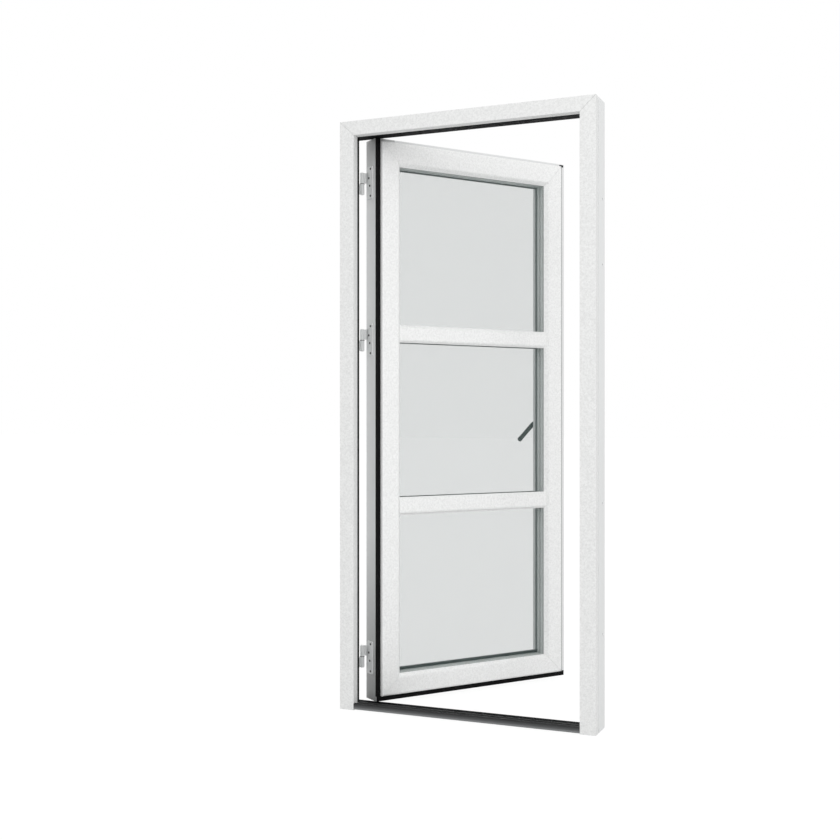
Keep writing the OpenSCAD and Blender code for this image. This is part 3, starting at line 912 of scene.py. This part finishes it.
class CASEMENT_OT_screws(PieceOperator):
    """Screws with star drives, on the hinges, strikes and rose"""

    bl_idname = "casement.screws"
    bl_label = "Screws"

    def screw(self, mesh, seat, outward, radius, dome, shank):
        """A domed head with a six-lobed recess, and the shank behind it."""
        along = Vector(outward)
        side = along.orthogonal().normalized()
        across = along.cross(side)
        count = 36

        def ring(size, height, lobed=0.0):
            points = []
            for k in range(count):
                t = 2 * math.pi * k / count
                r = size * (1 + lobed * math.cos(6 * t))
                turned = side * math.cos(t) + across * math.sin(t)
                points.append(seat + along * height + turned * r)
            return points

        neck = radius * 0.5
        lobes = 0.16
        skin(mesh, [
            ring(neck, -shank), ring(neck, -0.0001), ring(radius, 0.0), ring(radius, dome * 0.35),
            ring(radius * 0.86, dome * 0.8), ring(radius * 0.6, dome),
            ring(radius * 0.42, dome, lobes), ring(radius * 0.38, dome * 0.15, lobes),
        ])

    def group(self, node, body, turned, outward, radius_share, dome, shank, finish="zinc"):
        """All the screws of one node, their domes standing out of the surface."""
        mesh = bmesh.new()
        along = Vector(outward)
        axis = 0 if along.x else 1
        sunk = dome * 0.9
        for low, high in solids_of(node, turned.inverted()):
            seat = (low + high) / 2
            seat[axis] = (high if along[axis] > 0 else low)[axis] - along[axis] * sunk
            radius = (high.z - low.z) / 2 * radius_share
            self.screw(mesh, seat, along, radius, dome, shank)
        solid(mesh, node.replace("_screws", "_star_screws"), body, finish_named(finish),
              [node], turned, 0.0001)

    def make(self, profile, hardware):
        self.group("hinge_frame_screws", "frame", IN_PLACE, (1, 0, 0), 1.0, 0.0018, 0.010, "screw")
        self.group("hinge_sash_screws", "sash", OPENED, (-1, 0, 0), 1.0, 0.0018, 0.018, "screw")
        self.group("strike_screws", "frame", IN_PLACE, (-1, 0, 0), 1.6, 0.0009, 0.010)
        self.group("rose_screws", "sash", OPENED, (0, 1, 0), 1.5, 0.0009, 0.020)


class CASEMENT_OT_strikes(PieceOperator):
    """Strike plates on the lock jamb"""

    bl_idname = "casement.strikes"
    bl_label = "Strike plates"

    def make(self, profile, hardware):
        dress("strike_plates", finish_named("zinc"), profile.eased)


class CASEMENT_OT_sash_core(PieceOperator):
    """The plain white profiles of the sash"""

    bl_idname = "casement.sash_core"
    bl_label = "Sash core"

    def make(self, profile, hardware):
        dress("sash_stile_hinge", finish_named("stile"), profile.eased)
        for node in ("sash_stile_lock", "sash_rail_top", "sash_rail_bottom"):
            dress(node, finish_named("profile"), profile.eased)


def daylight():
    """The glazed opening of the shut sash, from the cladding round it."""
    hinge_high = shut_box("sash_cladding_hinge")[1]
    lock_low = shut_box("sash_cladding_lock")[0]
    top_low = shut_box("sash_cladding_top")[0]
    bottom_high = shut_box("sash_cladding_bottom")[1]
    return Vector((hinge_high.x, 0, bottom_high.z)), Vector((lock_low.x, 0, top_low.z))


class CASEMENT_OT_sash_cladding(PieceOperator):
    """The mitred cladding of the sash, with its bevel down to the glass"""

    bl_idname = "casement.sash_cladding"
    bl_label = "Sash cladding"

    def make(self, profile, hardware):
        low, _ = shut_box("sash_cladding_hinge")
        _, high = shut_box("sash_cladding_lock")
        day_low, day_high = daylight()
        widths = {
            "hinge": day_low.x - low.x,
            "lock": high.x - day_high.x,
            "bottom": day_low.z - low.z,
            "top": high.z - day_high.z,
        }
        around = Surround(
            low, high, widths["hinge"], widths["lock"], widths["bottom"], widths["top"],
            profile.mitre_gap,
        )
        glass = shut_box("glass_outer")[0].y
        rebate = day_low.x - shut_box("sash_stile_hinge")[1].x
        q = profile.quirk
        foot_run, foot_rise = 0.0012, 0.0025
        bottom_arris_share = 1.8
        for side, width in widths.items():
            face = width - profile.bevel
            arris = profile.sash_arris * (bottom_arris_share if side == "bottom" else 1.0)
            outline = rounded([
                (0, low.y, arris),
                (face - q, low.y, 0.0006),
                (face - q * 0.7, low.y + q, 0),
                (face, low.y + q, 0),
                (face + q * 0.3, low.y + q * 0.3, 0.0003),
                (width - foot_run, glass - foot_rise, 0.0015),
                (width, glass, 0),
                (width - rebate, glass, 0),
                (width - rebate, high.y, 0),
                (0, high.y, 0.0008),
            ])
            mesh = bmesh.new()
            sweep(mesh, outline, around.ends(side))
            solid(mesh, f"sash_skin_{side}", "sash", finish_named("sash cladding"),
                  [f"sash_cladding_{side}"], OPENED)


class CASEMENT_OT_sash_seals(PieceOperator):
    """The seals on the sash's overlap and the drip seal under it"""

    bl_idname = "casement.sash_seals"
    bl_label = "Sash seals"

    def make(self, profile, hardware):
        for node in ("sash_gasket_hinge", "sash_gasket_lock"):
            low, high = shut_box(node)
            mesh = bmesh.new()
            if node.endswith("hinge"):
                core, top = shut_box("sash_stile_hinge")
                high.z = top.z
                self.wrap(mesh, core.x, low, high)
            self.upright(mesh, low, high)
            self.place(mesh, node)
        low, high = shut_box("sash_gasket_top")
        low.x = shut_box("sash_gasket_hinge")[1].x
        corner = shut_box("sash_gasket_lock")[0].x + 0.001
        step = low.z + profile.top_seal
        mesh = bmesh.new()
        self.level(mesh, low, Vector((high.x, high.y, step)))
        self.level(mesh, Vector((corner, low.y, step)), high)
        self.place(mesh, "sash_gasket_top")
        mesh = bmesh.new()
        self.level(mesh, *shut_box("sash_drip_seal"))
        self.place(mesh, "sash_drip_seal")

    def place(self, mesh, node):
        """Makes the piece of a seal."""
        solid(mesh, node + "_ribbed", "sash", finish_named("seal"), [node], OPENED,
              0.0001)

    def ribbed(self, depth, across):
        """Outline of a seal with a rib about every 4 mm."""
        return seal_outline(depth, across, max(1, round(across / 0.004)))

    def upright(self, mesh, low, high):
        """A standing seal, its ribs towards the outside."""
        outline = self.ribbed(high.y - low.y, high.x - low.x)
        extrude(mesh, outline, lambda u, v, z: Vector((low.x + v, high.y - u, z)), low.z, high.z)

    def level(self, mesh, low, high):
        """A lying seal, its ribs towards the outside."""
        outline = self.ribbed(high.y - low.y, high.z - low.z)
        extrude(mesh, outline, lambda u, v, x: Vector((x, high.y - u, low.z + v)), low.x, high.x)

    def wrap(self, mesh, core, low, high):
        """The seal's thin edge that wraps round the corner of the stile."""
        skirt, root, reach = 0.0012, 0.002, 0.004
        front = low.y + 0.0006
        outline = rounded([
            (core - skirt, front, 0.0006), (core + root, front, 0), (core + root, high.y, 0),
            (core, high.y, 0), (core, high.y + reach, 0), (core - skirt, high.y + reach, 0.0005),
        ])
        extrude(mesh, outline, standing, low.z, high.z)


class CASEMENT_OT_glass(PieceOperator):
    """Three panes, their spacers, the inner seal and the blocks that they stand on"""

    bl_idname = "casement.glass"
    bl_label = "Glass"

    def make(self, profile, hardware):
        for node, finish, edge in (
            ("glass_outer", "outer glass", 0.0005),
            ("glass_middle", "clear glass", 0.0005),
            ("glass_inner", "clear glass", 0.0005),
            ("glass_spacers", "spacer", 0.0004),
            ("setting_blocks", "composite", 0.0006),
            ("glazing_seal", "glazing seal", 0.0004),
        ):
            dress(node, finish_named(finish), edge)


class CASEMENT_OT_beads(PieceOperator):
    """The glazing beads round the inside of the glass"""

    bl_idname = "casement.beads"
    bl_label = "Glazing beads"

    def make(self, profile, hardware):
        sides = ("hinge", "lock", "bottom", "top")
        boxes = {side: shut_box(f"glazing_bead_{side}") for side in sides}
        low = boxes["hinge"][0]
        high = boxes["lock"][1]
        widths = {
            side: (b - a).x if side in ("hinge", "lock") else (b - a).z
            for side, (a, b) in boxes.items()
        }
        around = Surround(
            low, high, widths["hinge"], widths["lock"], widths["bottom"], widths["top"],
            profile.mitre_gap,
        )
        lip, slope_start = low.y + 0.004, low.y + 0.0055
        lip_step, slope_run, crown = 0.0012, 0.0045, 0.004
        for side, width in widths.items():
            outline = rounded([
                (0, low.y, 0), (width, low.y, 0.0005), (width, lip, 0.0005),
                (width - lip_step, slope_start, 0), (width - slope_run, high.y, crown),
                (0, high.y, 0.0006),
            ])
            mesh = bmesh.new()
            sweep(mesh, outline, around.ends(side))
            solid(mesh, f"bead_{side}", "sash", finish_named("profile"),
                  [f"glazing_bead_{side}"], OPENED)


class CASEMENT_OT_bars(PieceOperator):
    """Glazing bars outside, inside and between the panes"""

    bl_idname = "casement.bars"
    bl_label = "Glazing bars"

    def make(self, profile, hardware):
        day_low, day_high = daylight()
        for place in ("lower", "upper"):
            self.outside(f"outer_bar_{place}", day_low, day_high, profile)
            self.inside(f"inner_bar_{place}", profile)
        dress("cavity_bars", finish_named("spacer"), 0.0005)

    def outline(self, low, high, profile, front, back):
        """Outline in section: a face at front, a fine groove along each edge, slopes to back."""
        shoulder = 0.009
        inward = profile.quirk * math.copysign(1, back - front)
        points = [(back, low.z, 0.0006)]
        for edge, way in ((low.z + shoulder, 1), (high.z - shoulder, -1)):
            groove = [
                (front + inward * 0.4, edge - way * profile.quirk * 0.4, 0.0003),
                (front + inward, edge, 0),
                (front + inward, edge + way * profile.quirk * 0.3, 0),
                (front, edge + way * profile.quirk, 0.0006),
            ]
            points += groove[::way]
        return rounded(points + [(back, high.z, 0.0006)])

    def outside(self, node, day_low, day_high, profile):
        """An outside bar whose ends lie on the bevel of the cladding."""
        low, high = shut_box(node)
        reach = day_low.x - low.x
        depth = high.y - low.y
        slope = reach / depth
        mesh = bmesh.new()
        outline = self.outline(low, high, profile, low.y, high.y)
        sweep(mesh, outline, [
            lambda y, z: Vector((day_low.x - (high.y - y) * slope, y, z)),
            lambda y, z: Vector((day_high.x + (high.y - y) * slope, y, z)),
        ])
        solid(mesh, node + "_moulded", "sash", finish_named("sash cladding"),
              [node], OPENED)

    def inside(self, node, profile):
        """An inside bar between the beads."""
        low, high = shut_box(node)
        mesh = bmesh.new()
        outline = self.outline(low, high, profile, high.y, low.y)
        extrude(mesh, outline, lying, low.x, high.x)
        solid(mesh, node + "_moulded", "sash", finish_named("profile"), [node], OPENED)


class CASEMENT_OT_lock(PieceOperator):
    """Lock case, faceplate, drive rod with its cams, latch and spindle"""

    bl_idname = "casement.lock"
    bl_label = "Lock"

    def make(self, profile, hardware):
        for node in ("lock_case", "lock_faceplate", "drive_rod", "latch_bolt", "handle_spindle"):
            dress(node, finish_named("zinc"), 0.0005)


class CASEMENT_OT_handle(PieceOperator):
    """The rose and the lever"""

    bl_idname = "casement.handle"
    bl_label = "Handle"

    def make(self, profile, hardware):
        self.rose()
        self.lever(hardware)

    def rose(self):
        """A long rose with a domed edge."""
        low, high = shut_box("handle_rose")
        middle = (low + high) / 2
        half = (high.x - low.x) / 2
        reach = (high.z - low.z) / 2 - half
        depth = high.y - low.y
        count = 48
        # How far each ring stands in from the edge, and its share of the depth.
        dome = (
            (0.0, 0.0), (0.0, 0.62), (0.0006, 0.78), (0.002, 0.91), (0.0042, 0.98), (0.007, 1.0)
        )
        mesh = bmesh.new()
        rings = []
        for inset, share in dome:
            r = half - inset
            y = low.y + depth * share
            ring = []
            for k in range(count):
                t = 2 * math.pi * (k + 0.5) / count
                shift = math.copysign(reach, math.sin(t))
                x = middle.x + r * math.cos(t)
                ring.append(Vector((x, y, middle.z + shift + r * math.sin(t))))
            rings.append(ring)
        skin(mesh, rings)
        solid(mesh, "rose_domed", "sash", finish_named("handle"), ["handle_rose"],
              OPENED, 0.0002)

    def lever(self, hardware):
        """One bent bar: a round neck that turns into a flattened grip with a square-cut end."""
        low, high = shut_box("handle_lever")
        pivot = SHUT @ Vector(JOINTS["handle_turn"]["pos_m"])
        down = math.radians(JOINTS["handle_turn"]["range_deg"][1])
        along = Vector((-math.cos(down), 0, -math.sin(down)))
        across = Vector((math.sin(down), 0, -math.cos(down)))
        out = Vector((0, 1, 0))
        bend, tip = 0.013, 0.004
        neck_run = high.y - 0.007 - low.y - bend
        grip_run = hardware.grip_length - bend
        root = Vector((pivot.x, low.y, pivot.z))
        elbow = root + out * (neck_run + bend)
        neck = hardware.neck * 2
        level = math.pi / 2
        round_bar, flat_bar = 2.0, 2.8
        rings = []

        def add_ring(centre, turn, width, depth, square):
            """Adds a ring across the bar; square makes it squarer the more it goes past 2."""
            thick = along * math.cos(turn) - out * math.sin(turn)
            points = []
            for k in range(32):
                t = 2 * math.pi * k / 32
                c, s = math.cos(t), math.sin(t)
                x = math.copysign(abs(c) ** (2 / square), c) * width / 2
                y = math.copysign(abs(s) ** (2 / square), s) * depth / 2
                points.append(centre + across * x + thick * y)
            rings.append(points)

        for share, swell in ((0.0, 1.12), (0.06, 1.12), (0.1, 1.0), (0.6, 0.98), (1.0, 1.0)):
            add_ring(root + out * neck_run * share, 0, neck * swell, neck * swell, round_bar)
        bend_steps = 8
        for k in range(1, bend_steps + 1):
            share = k / bend_steps
            turn = level * share
            outwards = out * (neck_run + bend * math.sin(turn))
            centre = root + outwards + along * bend * (1 - math.cos(turn))
            width = neck + (hardware.grip_width - neck) * share
            depth = neck + (hardware.grip_depth - neck) * share
            add_ring(centre, turn, width, depth, round_bar + (flat_bar - round_bar) * share)
        grip_steps = 10
        for k in range(1, grip_steps + 1):
            share = k / grip_steps
            centre = elbow + along * (bend + (grip_run - tip) * share)
            waist = 1 - 0.06 * math.sin(math.pi * share)
            add_ring(centre, level, hardware.grip_width * waist, hardware.grip_depth, flat_bar)
        # The last ring of the tip stays a little open, so that the end is closed flat.
        tip_steps, open_end = 7, 0.4
        for k in range(1, tip_steps + 1):
            turn = level * k / (tip_steps + open_end)
            centre = elbow + along * (bend + grip_run - tip + tip * math.sin(turn))
            share = math.cos(turn)
            depth = hardware.grip_depth * (0.45 + 0.55 * share)
            add_ring(centre, level, hardware.grip_width * share, depth, flat_bar)
        mesh = bmesh.new()
        skin(mesh, rings)
        solid(mesh, "lever_bent", "handle", finish_named("handle"), ["handle_lever"],
              OPENED, 0.0002)


# ---------------------------------------------------------------- the stage


class CASEMENT_OT_stage(bpy.types.Operator):
    """Pale floor, soft light and camera"""

    bl_idname = "casement.stage"
    bl_label = "Stage"

    def execute(self, context):
        stage = settings()[3]
        self.floor(stage)
        self.light(context, stage)
        self.camera(context, stage)
        return {"FINISHED"}

    def floor(self, stage):
        """A wide pale floor that glows softly, so that it meets the white surroundings."""
        half_size, gap = 60, 0.0005
        mesh = bmesh.new()
        bmesh.ops.create_grid(mesh, x_segments=8, y_segments=8, size=half_size)
        data = bpy.data.meshes.new("floor")
        mesh.to_mesh(data)
        mesh.free()
        floor = bpy.data.objects.new("floor", data)
        floor.location.z = CAD_BOX[0].z - gap
        bpy.context.scene.collection.objects.link(floor)
        paint = Finish("pale floor", Roughness=0.9, Emission_Strength=1.0)
        paint.feed("Specular IOR Level", 0.0)
        seen = paint.node("ShaderNodeLightPath", out="Is Camera Ray")
        paint.feed("Base Color", paint.blend(seen, stage.floor, shade(stage.floor, 0.1)))
        paint.feed("Emission Color", paint.blend(seen, (0, 0, 0), (0.95, 0.95, 0.95)))
        data.materials.append(paint.material)

    def light(self, context, stage):
        """White surroundings and a large soft panel in front."""
        world = bpy.data.worlds.new("white room")
        world.use_nodes = True
        nodes, links = world.node_tree.nodes, world.node_tree.links
        seen = nodes.new("ShaderNodeLightPath")
        strength = nodes.new("ShaderNodeMapRange")
        strength.inputs["To Min"].default_value = stage.room_light
        strength.inputs["To Max"].default_value = 1.0
        links.new(seen.outputs["Is Camera Ray"], strength.inputs["Value"])
        sky = nodes["Background"]
        sky.inputs["Color"].default_value = (1, 1, 1, 1)
        links.new(strength.outputs["Result"], sky.inputs["Strength"])
        context.scene.world = world
        context.scene.view_settings.view_transform = "Standard"
        context.scene.view_settings.look = "None"
        panel = bpy.data.lights.new("soft panel", "AREA")
        panel.shape = "RECTANGLE"
        panel.size = panel.size_y = 3.0
        panel.energy = stage.panel_light
        lamp = bpy.data.objects.new("soft panel", panel)
        lamp.location = (2.5, -4.0, 3.2)
        aim = Vector((0, 0, 1)) - lamp.location
        lamp.rotation_euler = aim.to_track_quat("-Z", "Y").to_euler()
        context.scene.collection.objects.link(lamp)

    def camera(self, context, stage):
        """A level camera in front and to the right, turned back towards the window."""
        lens = bpy.data.cameras.new("camera")
        lens.lens = 50.0
        lens.sensor_width = 36.0
        camera = bpy.data.objects.new("camera", lens)
        camera.location = (stage.camera_side, -stage.camera_back, stage.camera_height)
        camera.rotation_euler = (math.pi / 2, 0, stage.camera_angle)
        context.scene.collection.objects.link(camera)
        context.scene.camera = camera


class CASEMENT_PT_window(bpy.types.Panel):
    """Lists the steps that dress the window"""

    bl_label = "Casement window"
    bl_space_type = "VIEW_3D"
    bl_region_type = "UI"
    bl_category = "Window"

    def draw(self, context):
        for group in settings():
            for name in group.__annotations__:
                self.layout.prop(group, name)
        for step in STEPS:
            self.layout.operator(step.bl_idname)


STEPS = (
    CASEMENT_OT_frame_cladding,
    CASEMENT_OT_frame_core,
    CASEMENT_OT_frame_seals,
    CASEMENT_OT_threshold,
    CASEMENT_OT_hinges,
    CASEMENT_OT_screws,
    CASEMENT_OT_strikes,
    CASEMENT_OT_sash_core,
    CASEMENT_OT_sash_cladding,
    CASEMENT_OT_sash_seals,
    CASEMENT_OT_glass,
    CASEMENT_OT_beads,
    CASEMENT_OT_bars,
    CASEMENT_OT_lock,
    CASEMENT_OT_handle,
    CASEMENT_OT_stage,
)
GROUPS = {
    "window_profiles": ProfileSettings,
    "window_hardware": HardwareSettings,
    "window_colours": ColourSettings,
    "window_stage": StageSettings,
}


def register():
    for name, group in GROUPS.items():
        bpy.utils.register_class(group)
        setattr(bpy.types.Scene, name, PointerProperty(type=group))
    for step in STEPS:
        bpy.utils.register_class(step)
    bpy.utils.register_class(CASEMENT_PT_window)


def unregister():
    bpy.utils.unregister_class(CASEMENT_PT_window)
    for step in reversed(STEPS):
        bpy.utils.unregister_class(step)
    for name, group in GROUPS.items():
        delattr(bpy.types.Scene, name)
        bpy.utils.unregister_class(group)


def main():
    register()
    for step in STEPS:
        group, name = step.bl_idname.split(".")
        getattr(getattr(bpy.ops, group), name)()


if __name__ == "__main__":
    main()
